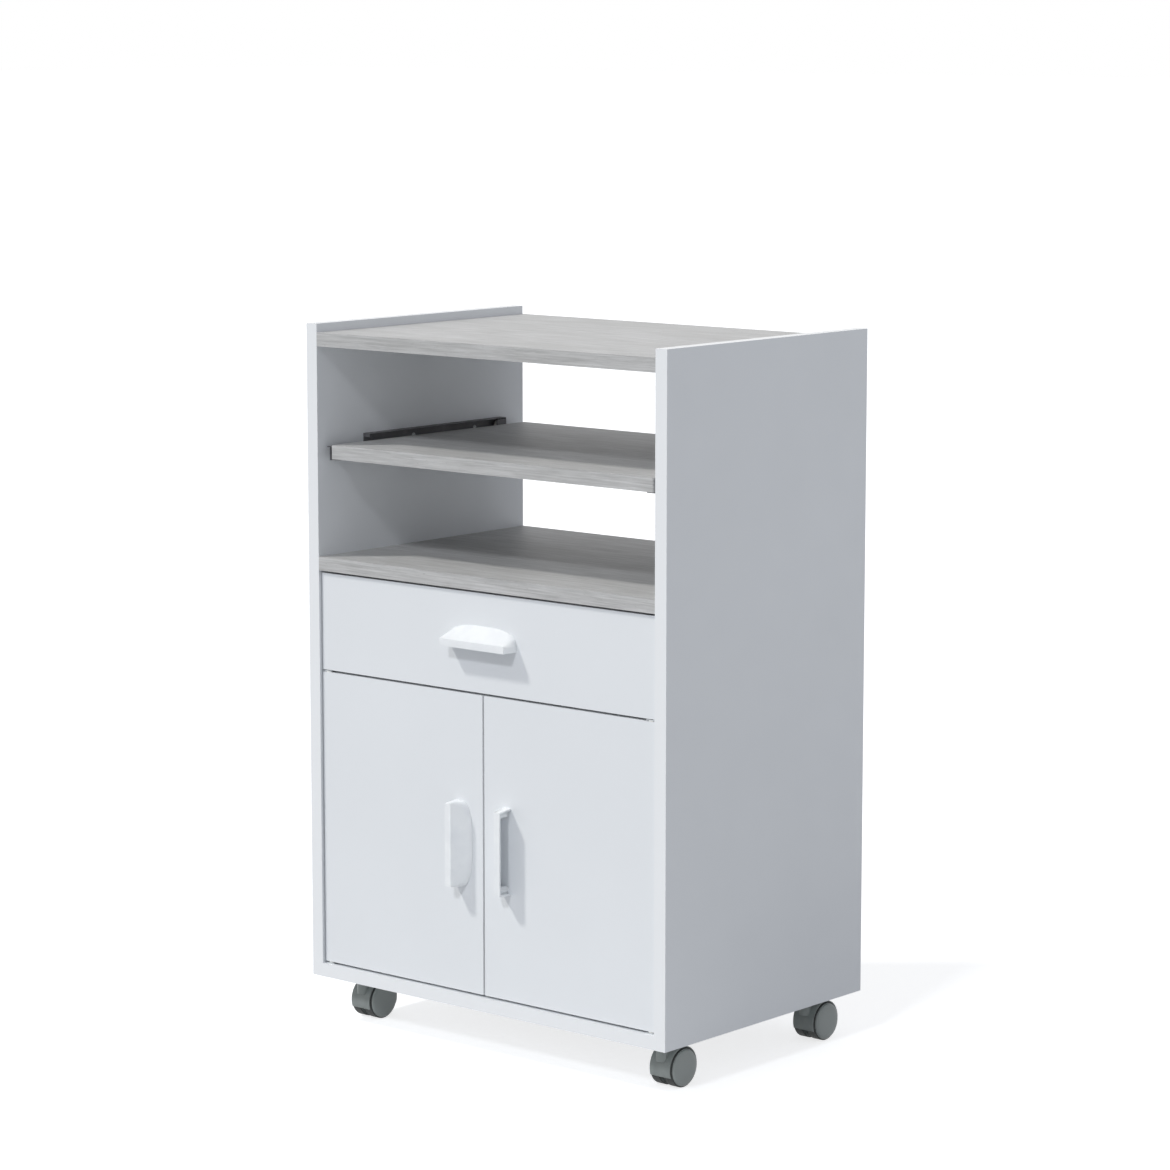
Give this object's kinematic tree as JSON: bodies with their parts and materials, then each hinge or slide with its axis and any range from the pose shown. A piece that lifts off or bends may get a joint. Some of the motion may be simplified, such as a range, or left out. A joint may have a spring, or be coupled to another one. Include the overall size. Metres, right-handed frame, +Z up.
{
  "type": "microwave cart",
  "caption": "Tall kitchen cart on swivelling castors: a flat top, a pull-out shelf over an open bay, a drawer and a two-door cupboard.",
  "frame": {"origin": "on the floor, under the middle of the part's outline with the handles included", "axes": "+Z up, the front with the drawer and the doors faces -Y, +X towards the right side panel"},
  "size_m": [0.6, 0.418, 0.923],
  "materials": {
    "white_laminate": "matt melamine foil on particle board",
    "cement_laminate": "matt cement-grey printed laminate",
    "white_hardboard": "lacquered hardboard",
    "beech": "raw turned wood",
    "zinc_steel": "bright zinc plate",
    "runner_coat": "dark grey powder coat",
    "roller_nylon": "moulded nylon",
    "handle_plastic": "glossy white moulding",
    "catch_plastic": "moulded grey plastic",
    "castor_plastic": "satin grey moulding",
    "wheel_plastic": "matt grey moulding"
  },
  "bodies": {
    "case": {"left_side_panel": "white_laminate", "right_side_panel": "white_laminate", "top_board": "cement_laminate", "fixed_shelf": "cement_laminate", "bottom_board": "white_laminate", "back_panel": "white_hardboard", "cam_locks": "zinc_steel", "cam_bolts": "zinc_steel", "dowels": "beech", "shelf_rails": "runner_coat", "drawer_rails": "runner_coat", "case_screws": "zinc_steel", "door_pivots": "zinc_steel", "magnet_catches": "catch_plastic", "castor_plates": "zinc_steel", "castor_screws": "zinc_steel"},
    "shelf": {"pull_out_shelf": "cement_laminate", "shelf_slides": "runner_coat", "shelf_screws": "zinc_steel"},
    "drawer": {"drawer_front": "white_laminate", "drawer_side_left": "white_laminate", "drawer_side_right": "white_laminate", "drawer_back": "white_laminate", "drawer_bottom": "white_hardboard", "drawer_handle": "handle_plastic", "drawer_handle_screws": "zinc_steel", "drawer_slides": "runner_coat", "drawer_screws": "zinc_steel", "drawer_fittings": "zinc_steel"},
    "left_door": {"left_door": "white_laminate", "left_door_handle": "handle_plastic", "left_handle_screws": "zinc_steel", "left_pivot_bushes": "roller_nylon", "left_strike": "zinc_steel"},
    "right_door": {"right_door": "white_laminate", "right_door_handle": "handle_plastic", "right_handle_screws": "zinc_steel", "right_pivot_bushes": "roller_nylon", "right_strike": "zinc_steel"},
    "shelf_front_rollers": {"shelf_front_rollers": "roller_nylon"},
    "shelf_rear_rollers": {"shelf_rear_rollers": "roller_nylon"},
    "drawer_front_rollers": {"drawer_front_rollers": "roller_nylon"},
    "drawer_rear_rollers": {"drawer_rear_rollers": "roller_nylon"},
    "castor_front_left": {"hood_front_left": "castor_plastic", "axle_front_left": "zinc_steel"},
    "wheel_front_left_outer": {"wheel_front_left_outer": "wheel_plastic"},
    "wheel_front_left_inner": {"wheel_front_left_inner": "wheel_plastic"},
    "castor_front_right": {"hood_front_right": "castor_plastic", "axle_front_right": "zinc_steel"},
    "wheel_front_right_outer": {"wheel_front_right_outer": "wheel_plastic"},
    "wheel_front_right_inner": {"wheel_front_right_inner": "wheel_plastic"},
    "castor_back_left": {"hood_back_left": "castor_plastic", "axle_back_left": "zinc_steel"},
    "wheel_back_left_outer": {"wheel_back_left_outer": "wheel_plastic"},
    "wheel_back_left_inner": {"wheel_back_left_inner": "wheel_plastic"},
    "castor_back_right": {"hood_back_right": "castor_plastic", "axle_back_right": "zinc_steel"},
    "wheel_back_right_outer": {"wheel_back_right_outer": "wheel_plastic"},
    "wheel_back_right_inner": {"wheel_back_right_inner": "wheel_plastic"}
  },
  "joints": [
    {"name": "shelf_slide", "type": "slide", "parent": "case", "child": "shelf", "axis": [0, -1, 0], "range_m": [0, 0.25]},
    {"name": "drawer_slide", "type": "slide", "parent": "case", "child": "drawer", "axis": [0, -1, 0], "range_m": [0, 0.25]},
    {"name": "left_door_hinge", "type": "hinge", "parent": "case", "child": "left_door", "pos_m": [-0.272, -0.182, 0.277], "axis": [0, 0, -1], "range_deg": [0, 105]},
    {"name": "right_door_hinge", "type": "hinge", "parent": "case", "child": "right_door", "pos_m": [0.272, -0.182, 0.277], "axis": [0, 0, 1], "range_deg": [0, 105]},
    {"name": "shelf_front_rollers_spin", "type": "hinge", "parent": "case", "child": "shelf_front_rollers", "pos_m": [0, -0.159, 0.7548], "axis": [1, 0, 0], "continuous": true},
    {"name": "shelf_rear_rollers_spin", "type": "hinge", "parent": "shelf", "child": "shelf_rear_rollers", "pos_m": [0, 0.153, 0.76435], "axis": [1, 0, 0], "continuous": true},
    {"name": "drawer_front_rollers_spin", "type": "hinge", "parent": "case", "child": "drawer_front_rollers", "pos_m": [0, -0.159, 0.4938], "axis": [1, 0, 0], "continuous": true},
    {"name": "drawer_rear_rollers_spin", "type": "hinge", "parent": "drawer", "child": "drawer_rear_rollers", "pos_m": [0, 0.153, 0.50335], "axis": [1, 0, 0], "continuous": true},
    {"name": "swivel_front_left", "type": "hinge", "parent": "case", "child": "castor_front_left", "pos_m": [-0.256, -0.142, 0.05], "axis": [0, 0, 1], "continuous": true},
    {"name": "wheel_front_left_outer_spin", "type": "hinge", "parent": "castor_front_left", "child": "wheel_front_left_outer", "pos_m": [-0.256, -0.121, 0.025], "axis": [1, 0, 0], "continuous": true},
    {"name": "wheel_front_left_inner_spin", "type": "hinge", "parent": "castor_front_left", "child": "wheel_front_left_inner", "pos_m": [-0.256, -0.121, 0.025], "axis": [1, 0, 0], "continuous": true},
    {"name": "swivel_front_right", "type": "hinge", "parent": "case", "child": "castor_front_right", "pos_m": [0.256, -0.142, 0.05], "axis": [0, 0, 1], "continuous": true},
    {"name": "wheel_front_right_outer_spin", "type": "hinge", "parent": "castor_front_right", "child": "wheel_front_right_outer", "pos_m": [0.256, -0.121, 0.025], "axis": [1, 0, 0], "continuous": true},
    {"name": "wheel_front_right_inner_spin", "type": "hinge", "parent": "castor_front_right", "child": "wheel_front_right_inner", "pos_m": [0.256, -0.121, 0.025], "axis": [1, 0, 0], "continuous": true},
    {"name": "swivel_back_left", "type": "hinge", "parent": "case", "child": "castor_back_left", "pos_m": [-0.256, 0.15, 0.05], "axis": [0, 0, 1], "continuous": true},
    {"name": "wheel_back_left_outer_spin", "type": "hinge", "parent": "castor_back_left", "child": "wheel_back_left_outer", "pos_m": [-0.256, 0.171, 0.025], "axis": [1, 0, 0], "continuous": true},
    {"name": "wheel_back_left_inner_spin", "type": "hinge", "parent": "castor_back_left", "child": "wheel_back_left_inner", "pos_m": [-0.256, 0.171, 0.025], "axis": [1, 0, 0], "continuous": true},
    {"name": "swivel_back_right", "type": "hinge", "parent": "case", "child": "castor_back_right", "pos_m": [0.256, 0.15, 0.05], "axis": [0, 0, 1], "continuous": true},
    {"name": "wheel_back_right_outer_spin", "type": "hinge", "parent": "castor_back_right", "child": "wheel_back_right_outer", "pos_m": [0.256, 0.171, 0.025], "axis": [1, 0, 0], "continuous": true},
    {"name": "wheel_back_right_inner_spin", "type": "hinge", "parent": "castor_back_right", "child": "wheel_back_right_inner", "pos_m": [0.256, 0.171, 0.025], "axis": [1, 0, 0], "continuous": true}
  ],
  "couplings": [
    {"joint": "shelf_front_rollers_spin", "follows": "shelf_slide", "rad_per_m": 125},
    {"joint": "shelf_rear_rollers_spin", "follows": "shelf_slide", "rad_per_m": 117.65},
    {"joint": "drawer_front_rollers_spin", "follows": "drawer_slide", "rad_per_m": 125},
    {"joint": "drawer_rear_rollers_spin", "follows": "drawer_slide", "rad_per_m": 117.65}
  ]
}
